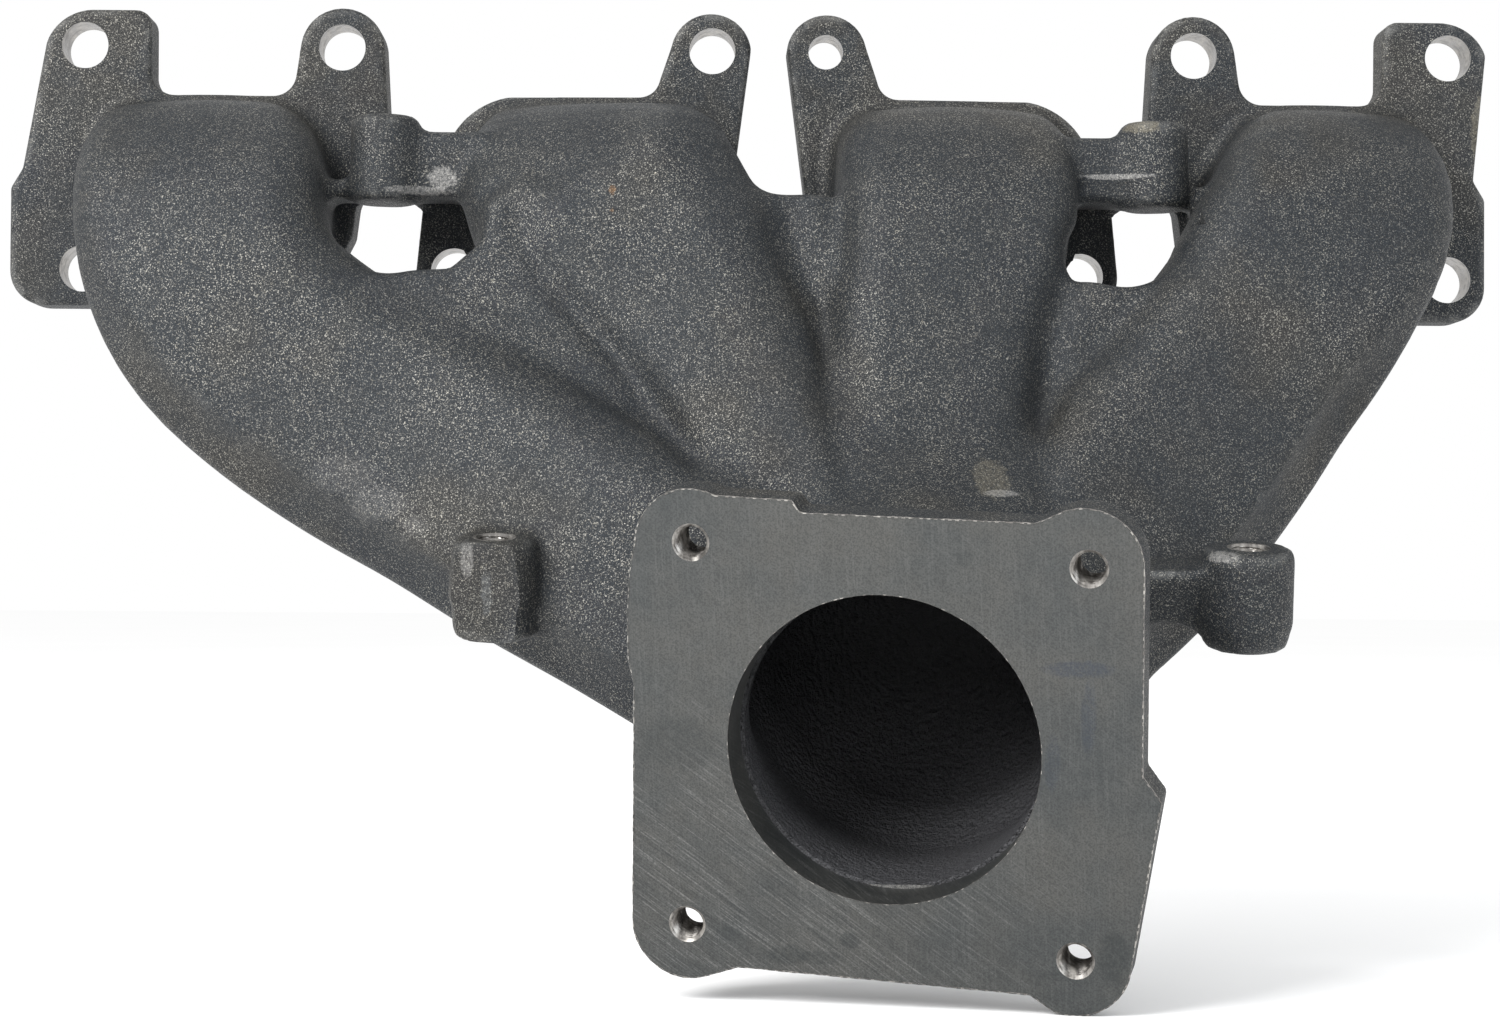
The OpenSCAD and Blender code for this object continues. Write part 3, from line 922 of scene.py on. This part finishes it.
def outlet_flange():
    """Outlet flange with cast sides, milled face, bored mouth and four threads."""
    field, _, bend = cast_plate(OUTLET_OUTLINE, -6, OUTLET_T + 4, -5, OUTLET_T + 5, 1.5)
    obj = field.mesh("outlet_flange")
    boolean(obj, box_cutter((-90, 0, -90), (90, 40, 90)), "INTERSECT")
    boolean(obj, bar(np.zeros(3), ROW_AXES, OUTLET_R, -10, 40, 160), "DIFFERENCE")
    sleeves = []
    for x, z in OUTLET_BOLTS:
        at = np.array((x, 0.0, z))
        boolean(obj, bar(at, ROW_AXES, THREAD_R + SLEEVE_WALL, -10, 40, 40), "DIFFERENCE")
        sleeves.append(thread_sleeve(at, -ROW_AXES[1], ROW_AXES[0], OUTLET_T))
    turn = np.linspace(0, 2 * math.pi, 300, endpoint=False)
    sleeves.append(burr(np.stack([OUTLET_R * np.cos(turn), OUTLET_R * np.sin(turn)], 1), 0.13))
    sleeves.append(burr(evenly(OUTLET_OUTLINE, 0.8), 0.19))
    mark(obj, bend)
    for sleeve in sleeves:
        sleeve.data.attributes.new("bend", "FLOAT", "POINT")
    obj = merged("outlet_flange", [obj] + sleeves)
    turn = Matrix([list(axis) for axis in OUTLET_AXES]).transposed().to_4x4()
    obj.data.transform(Matrix.Translation(Vector(OUTLET_AT * MM)) @ turn)
    return obj


# ---- materials


class Nodes:
    """Short way to build a material's node tree."""

    def __init__(self, name):
        self.material = bpy.data.materials.new(name)
        self.material.use_nodes = True
        self.tree = self.material.node_tree
        self.tree.nodes.clear()
        self.shader = self.tree.nodes.new("ShaderNodeBsdfPrincipled")
        out = self.tree.nodes.new("ShaderNodeOutputMaterial")
        self.tree.links.new(self.shader.outputs[0], out.inputs["Surface"])
        self.place = self.tree.nodes.new("ShaderNodeTexCoord").outputs["Object"]

    def feed(self, node, inputs):
        """Gives each named input a value, or the output of another node."""
        for socket, value in inputs.items():
            if isinstance(value, bpy.types.NodeSocket):
                self.tree.links.new(value, node.inputs[socket])
            else:
                node.inputs[socket].default_value = value

    def add(self, kind, output, inputs, **settings):
        """One output of a new node."""
        node = self.tree.nodes.new("ShaderNode" + kind)
        for key, value in settings.items():
            setattr(node, key, value)
        self.feed(node, inputs)
        return node.outputs[output]

    def shade(self, inputs):
        """The finished material."""
        self.feed(self.shader, inputs)
        return self.material

    def noise(self, scale, detail, rough, place=None):
        inputs = {"Vector": place or self.place, "Scale": scale, "Detail": detail, "Roughness": rough}
        return self.add("TexNoise", "Fac", inputs)

    def math(self, operation, a, b):
        return self.add("Math", 0, {0: a, 1: b}, operation=operation)

    def times(self, a, b):
        return self.math("MULTIPLY", a, b)

    def ramp(self, fac, low, high, to_low=0.0, to_high=1.0):
        inputs = {"Value": fac, "From Min": low, "From Max": high, "To Min": to_low, "To Max": to_high}
        return self.add("MapRange", "Result", inputs, interpolation_type="SMOOTHSTEP")

    def mix(self, fac, a, b):
        a, b = [(*value, 1.0) if isinstance(value, tuple) else value for value in (a, b)]
        return self.add("Mix", 2, {0: fac, 6: a, 7: b}, data_type="RGBA")

    def stretched(self, scale, turn=(0, 0, 0)):
        """The place turned, then scaled along each axis."""
        turned = self.add("Mapping", 0, {"Vector": self.place, "Rotation": turn})
        return self.add("Mapping", 0, {"Vector": turned, "Scale": scale})

    def bump(self, height, strength, distance, under=None):
        inputs = {"Height": height, "Strength": strength, "Distance": distance}
        if under is not None:
            inputs["Normal"] = under
        return self.add("Bump", 0, inputs)

    def patch(self, centre, reach, soft=0.35, ragged=0.75):
        """1 inside an oval about a point, fading to 0, with a ragged edge. Sizes in millimetres."""
        vector = "VectorMath"
        middle = tuple(c * MM for c in centre)
        moved = self.add(vector, "Vector", {0: self.place, 1: middle}, operation="SUBTRACT")
        scaled = self.add(vector, "Vector", {0: moved, 1: tuple(r * MM for r in reach)}, operation="DIVIDE")
        far = self.add(vector, "Value", {0: scaled}, operation="LENGTH")
        wander = self.times(self.math("SUBTRACT", self.noise(520, 6, 0.8), 0.5), 2 * ragged)
        whole = self.ramp(self.math("ADD", far, wander), 1.0 - soft / 2, 1.0 + soft / 2, 1.0, 0.0)
        return self.times(whole, self.ramp(self.noise(1300, 4, 0.8), 0.36, 0.56, 0.25, 1.0))

    def along(self, axis):
        """Place along X, Y or Z, in metres."""
        return self.add("SeparateXYZ", axis, {0: self.place})


# Places where the casting was ground or rubbed: middle, reach along each axis, strength and colour
GREY = (0.36, 0.35, 0.335)
WARM = (0.30, 0.265, 0.19)
RUST = (0.20, 0.10, 0.03)
MARKS = [
    ((-82.5, -38, -8.0), (3.6, 6, 3.0), 0.41, GREY),
    ((-88.5, -38, -11.2), (9, 6, 1.1), 0.41, GREY),
    ((51.5, -88, -84.0), (4.5, 8, 6.0), 0.19, WARM),
    ((53.5, -90, -88.0), (4.0, 6, 0.9), 0.38, GREY),
    ((-103.0, -68, -84.0), (8.5, 10, 4.5), 0.06, GREY),
    ((-93.5, -68, -91.0), (8.5, 10, 4.8), 0.09, GREY),
    ((-84.5, -68, -96.5), (6.0, 10, 4.5), 0.11, GREY),
    ((185.7, -8, 10.0), (2.5, 9, 9), 0.26, WARM),
    ((103.0, -105, -102.5), (4.0, 5, 1.6), 0.38, GREY),
    ((-67.0, -98, -113.0), (1.6, 6, 6.0), 0.3, (0.15, 0.16, 0.165)),
    ((-71.5, -97, -104.5), (1.6, 6, 4.5), 0.30, GREY),
    ((92.5, -41, 6.5), (5, 7, 1.8), 0.30, WARM),
    ((88.0, -38, -6.2), (10, 6, 0.7), 0.45, GREY),
    ((-39.2, -62, -13.2), (1.1, 5, 1.5), 0.5, RUST),
    ((-39.2, -64, -18.3), (0.9, 5, 1.2), 0.5, RUST),
    ((28.0, -106, -178.5), (9, 9, 1.2), 0.49, GREY),
]


def cast_iron():
    """Shot-blasted grey iron: dark, bluish to brown, with fine bright grains and worn edges; painted shade
    darkens its creases and the inside of the passages.
    """
    n = Nodes("cast_iron")
    broad = n.noise(20, 3, 0.55)
    middle = n.noise(110, 4, 0.6)
    grain = n.noise(2600, 2, 0.7)
    coarse = n.noise(1500, 2, 0.65)
    fine = n.noise(3600, 1, 0.5)
    bend = n.add("Attribute", "Fac", {}, attribute_name="bend")
    z = n.along("Z")
    warm_high = n.times(n.ramp(z, -0.004, 0.022), n.ramp(n.noise(60, 3, 0.6), 0.38, 0.60))
    on_flange = n.ramp(n.along("Y"), -0.030, -0.016)
    warm = n.math("MAXIMUM", n.ramp(broad, 0.50, 0.68), n.times(warm_high, on_flange))
    base = n.mix(warm, (0.0155, 0.0195, 0.0240), (0.0265, 0.0255, 0.0230))
    base = n.mix(n.ramp(middle, 0.42, 0.74, 0.0, 0.3), base, (0.042, 0.042, 0.040))
    cluster = n.ramp(n.noise(38, 5, 0.7), 0.36, 0.64, 0.45, 1.0)
    cluster = n.math("MAXIMUM", cluster, n.times(warm, 0.85))
    glint = n.times(n.ramp(grain, 0.53, 0.66), cluster)
    base = n.mix(glint, base, (0.29, 0.278, 0.245))
    flake = n.times(n.ramp(coarse, 0.62, 0.72), cluster)
    base = n.mix(n.times(flake, 0.8), base, (0.30, 0.28, 0.23))
    base = n.mix(n.ramp(fine, 0.56, 0.40, 0.0, 0.8), base, (0.004, 0.005, 0.007))
    worn = n.times(n.ramp(bend, 0.55, 1.9), n.ramp(n.noise(190, 4, 0.7), 0.40, 0.62))
    base = n.mix(n.times(worn, 0.42), base, (0.28, 0.28, 0.27))
    for centre, reach, strength, colour in MARKS:
        base = n.mix(n.times(n.patch(centre, reach), strength), base, colour)
    inside = n.ramp(bend, -2.2, -3.6)
    # Painted shade: the colour darkens where the casting bends inwards, in the creases between runners, webs
    # and bosses.
    painted_crease_shade = n.times(n.ramp(bend, -0.35, -1.6), 0.5)
    # Painted shade inside the passages: a near-black colour, darkest towards the top and a little lighter
    # low down, with darker flecks.
    painted_inside_shade = n.mix(n.ramp(z, -0.158, -0.128), (0.050, 0.050, 0.054), (0.0035, 0.0038, 0.005))
    painted_inside_shade = n.mix(n.ramp(grain, 0.50, 0.35), painted_inside_shade, (0.003, 0.003, 0.004))
    base = n.mix(painted_crease_shade, base, (0.008, 0.009, 0.011))
    base = n.mix(inside, base, painted_inside_shade)
    scale = n.bump(n.times(n.noise(750, 3, 0.6), inside), 1.0, 0.0016)
    lumps = n.bump(middle, 0.30, 0.0010, scale)
    peel = n.bump(n.noise(560, 3, 0.6), 0.60, 0.00040, lumps)
    return n.shade({
        "Base Color": base,
        "Metallic": n.ramp(inside, 0.0, 1.0, 0.45, 0.0),
        "Roughness": n.ramp(grain, 0.48, 0.72, 0.66, 0.40),
        "Normal": n.bump(grain, 0.80, 0.00022, peel),
    })


def on_outlet_face(x, z):
    """Point of the outlet's face at x and z."""
    rise = (x - OUTLET_AT[0]) * OUTLET_OUT[0] + (z - OUTLET_AT[2]) * OUTLET_OUT[2]
    return (x, float(OUTLET_AT[1] - rise / OUTLET_OUT[1]), z)


# Stains on the outlet's face: x and z of the middle, reach along each axis, strength and colour
DARK = (0.024, 0.028, 0.029)
BLUE = (0.024, 0.034, 0.055)
STAINS = [
    ((17.5, -190.5), (2.2, 1.9), 0.55, DARK),
    ((3.5, -194.5), (4.6, 2.2), 0.50, DARK),
    ((11.0, -195.0), (5.0, 1.6), 0.38, DARK),
    ((-10.0, -190.0), (3.0, 1.6), 0.35, DARK),
    ((75.5, -193.0), (3.2, 6.0), 0.60, DARK),
    ((64.0, -197.0), (4.0, 1.4), 0.40, DARK),
    ((41.0, -104.0), (1.8, 1.8), 0.35, DARK),
    ((-22.0, -146.0), (9.0, 6.0), 0.35, DARK),
    ((66.0, -128.0), (7.0, 1.8), 0.40, BLUE),
    ((68.5, -138.5), (1.6, 8.0), 0.30, BLUE),
    ((61.0, -149.0), (1.6, 6.0), 0.22, BLUE),
]


def milled_iron():
    """Milled face: mid grey, mottled, with fine tool lines, slanting scratches and stains."""
    n = Nodes("milled_iron")
    cloud = n.noise(34, 4, 0.62)
    mottle = n.noise(230, 4, 0.65)
    lines = n.noise(1.0, 3, 0.6, n.stretched((2300, 120, 60), (0, 0.06, 0)))
    slant = n.noise(1.0, 3, 0.6, n.stretched((70, 120, 2900), (0, -0.62, 0)))
    speck = n.noise(2400, 2, 0.5)
    low_left = n.patch(on_outlet_face(-8, -184), (58, 60, 34), 1.6, 0.8)
    base = n.mix(n.ramp(cloud, 0.34, 0.68), (0.050, 0.0535, 0.0535), (0.073, 0.0725, 0.068))
    base = n.mix(n.ramp(mottle, 0.36, 0.70, 0.0, 0.32), base, (0.084, 0.086, 0.083))
    base = n.mix(n.ramp(lines, 0.46, 0.70, 0.0, 0.22), base, (0.120, 0.121, 0.117))
    scratch = n.times(n.ramp(slant, 0.52, 0.70), n.math("MAXIMUM", low_left, 0.12))
    base = n.mix(n.times(scratch, 0.7), base, (0.19, 0.19, 0.185))
    dark_slant = n.times(n.ramp(slant, 0.46, 0.34), low_left)
    base = n.mix(n.times(dark_slant, 0.6), base, (0.028, 0.030, 0.031))
    base = n.mix(n.ramp(speck, 0.58, 0.36, 0.0, 0.42), base, (0.022, 0.024, 0.025))
    for (x, z), (reach_x, reach_z), strength, colour in STAINS:
        stain = n.patch(on_outlet_face(x, z), (reach_x, 12, reach_z), 0.5, 0.6)
        base = n.mix(n.times(stain, strength), base, colour)
    first = n.bump(lines, 0.16, 0.00006)
    second = n.bump(scratch, 0.20, 0.00008, first)
    return n.shade({
        "Base Color": base,
        "Metallic": 0.65,
        "Roughness": n.ramp(cloud, 0.3, 0.7, 0.46, 0.60),
        "Normal": n.bump(mottle, 0.15, 0.00020, second),
    })


def bright_iron():
    """Freshly cut iron of threads and drilled walls."""
    n = Nodes("bright_iron")
    streak = n.noise(1.0, 3, 0.6, n.stretched((700, 120, 90)))
    grime = n.noise(420, 3, 0.6)
    base = n.mix(n.ramp(streak, 0.35, 0.7), (0.20, 0.19, 0.18), (0.42, 0.40, 0.37))
    base = n.mix(n.ramp(grime, 0.55, 0.38, 0.0, 0.6), base, (0.06, 0.055, 0.05))
    return n.shade({
        "Base Color": base,
        "Metallic": 0.85,
        "Roughness": n.ramp(streak, 0.3, 0.7, 0.26, 0.42),
        "Normal": n.bump(streak, 0.2, 0.0001),
    })


# ---- assembly

CAST = cast_iron()
MILLED = milled_iron()
BRIGHT = bright_iron()


def paint(piece, node, chooser):
    piece.name = "look_" + node
    mesh = piece.data
    mesh.materials.clear()
    for material in (CAST, MILLED, BRIGHT):
        mesh.materials.append(material)
    index = chooser(read(mesh.polygons, "center") / MM, read(mesh.polygons, "normal"))
    mesh.polygons.foreach_set("material_index", index.astype(np.int32))
    mesh.polygons.foreach_set("use_smooth", np.ones(len(mesh.polygons), bool))
    mesh.set_sharp_from_angle(angle=math.radians(32))
    mesh.update()
    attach(piece, "root")
    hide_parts(node)


def port_faces(centres, normals):
    """Milled on the gasket face, bright in the drilled holes, cast elsewhere."""
    index = np.zeros(len(centres))
    index[(normals[:, 1] > 0.9) & (centres[:, 1] > -0.05)] = 1
    for i in range(4):
        for x, z, radius in bolt_places(i):
            near = np.hypot(centres[:, 0] - x, centres[:, 2] - z) < radius + 0.05
            index[near & (np.abs(normals[:, 1]) < 0.5)] = 2
    return index


def outlet_faces(centres, normals):
    """Milled on the face and in the bore, bright in the threads, cast elsewhere."""
    d = centres - OUTLET_AT
    across, deep, up = d @ OUTLET_ACROSS, -(d @ OUTLET_OUT), d @ OUTLET_UP
    index = np.zeros(len(centres))
    index[(normals @ OUTLET_OUT > 0.9) & (deep < 0.05)] = 1
    index[np.hypot(across, up) < OUTLET_R + 0.05] = 1
    for x, z in OUTLET_BOLTS:
        near = np.hypot(across - x, up - z) < THREAD_R + SLEEVE_WALL - 0.05
        index[near & (np.abs(normals @ OUTLET_OUT) < 0.98)] = 2
    on_edge = np.abs(outline_field(across, up, OUTLET_OUTLINE)) < 0.5
    on_edge |= np.abs(np.hypot(across, up) - OUTLET_R) < 0.5
    index[(deep < 0.6) & on_edge & (np.abs(normals @ OUTLET_OUT) < 0.999)] = 2
    return index


def casting_faces(centres, normals):
    """Bright inside the threads of the bosses, cast elsewhere."""
    index = np.zeros(len(centres))
    for at, up, _, _, _ in BOSSES.values():
        d = centres - at
        along = d @ up
        radial = np.linalg.norm(d - along[:, None] * up, axis=1)
        index[(radial < THREAD_R + 1.5) & (np.abs(along) < BOSS_TOP + 0.1)] = 2
    return index


for node_name, node_piece in casting_pieces().items():
    paint(node_piece, node_name, casting_faces)
for flange_index in range(4):
    paint(port_flange(flange_index), f"port_flange_{flange_index + 1}", port_faces)
paint(outlet_flange(), "outlet_flange", outlet_faces)

# ---- stage, light and camera


def floor():
    """Plain pale floor under the lowest point."""
    half = 12.0
    bm = bmesh.new()
    corners = [(-half, -half), (half, -half), (half, half), (-half, half)]
    bm.faces.new([bm.verts.new((x, y, cad_low[2])) for x, y in corners])
    obj = link("floor", bm)
    n = Nodes("floor")
    pale = n.mix(n.noise(3, 2, 0.5), (0.965, 0.965, 0.965), (0.985, 0.985, 0.985))
    obj.data.materials.append(n.shade({"Base Color": pale, "Roughness": 1.0, "Specular IOR Level": 0.0}))


def soft_light(name, at, aim, size, power, colour=(1, 1, 1)):
    """Square area light aimed at a point."""
    data = bpy.data.lights.new(name, "AREA")
    data.size = size
    data.energy = power
    data.color = colour
    obj = shown(name, data)
    obj.location = at
    obj.rotation_euler = (Vector(aim) - Vector(at)).to_track_quat("-Z", "Y").to_euler()


def white_room():
    """Even pale surroundings."""
    world = bpy.data.worlds.new("room")
    world.use_nodes = True
    back = world.node_tree.nodes["Background"]
    back.inputs["Color"].default_value = (1.0, 1.0, 1.0, 1.0)
    back.inputs["Strength"].default_value = 1.0
    bpy.context.scene.world = world


def camera():
    """Camera in front of the ports, a little low and left of the middle."""
    data = bpy.data.cameras.new("camera")
    data.sensor_width = 36.0
    data.lens = 77.2
    data.clip_end = 50.0
    obj = shown("camera", data)
    yaw, pitch, roll = 0.0176, 0.0241, 0.0069
    ahead = Vector((math.sin(yaw) * math.cos(pitch), math.cos(yaw) * math.cos(pitch), math.sin(pitch)))
    right = Vector((math.cos(yaw), -math.sin(yaw), 0))
    up = right.cross(ahead)
    right, up = (right * math.cos(roll) + up * math.sin(roll), up * math.cos(roll) - right * math.sin(roll))
    turn = Matrix((right, up, -ahead)).transposed().to_4x4()
    obj.matrix_world = Matrix.Translation((-0.0188, -0.8453, -0.1114)) @ turn
    bpy.context.scene.camera = obj


floor()
white_room()
soft_light("key", (-1.1, -1.3, 0.8), (0, 0, -0.08), 0.9, 48)
soft_light("fill", (1.2, -1.3, 0.5), (0, 0, -0.08), 0.9, 8, (0.88, 0.94, 1.0))
camera()
bpy.context.scene.view_settings.view_transform = "Standard"
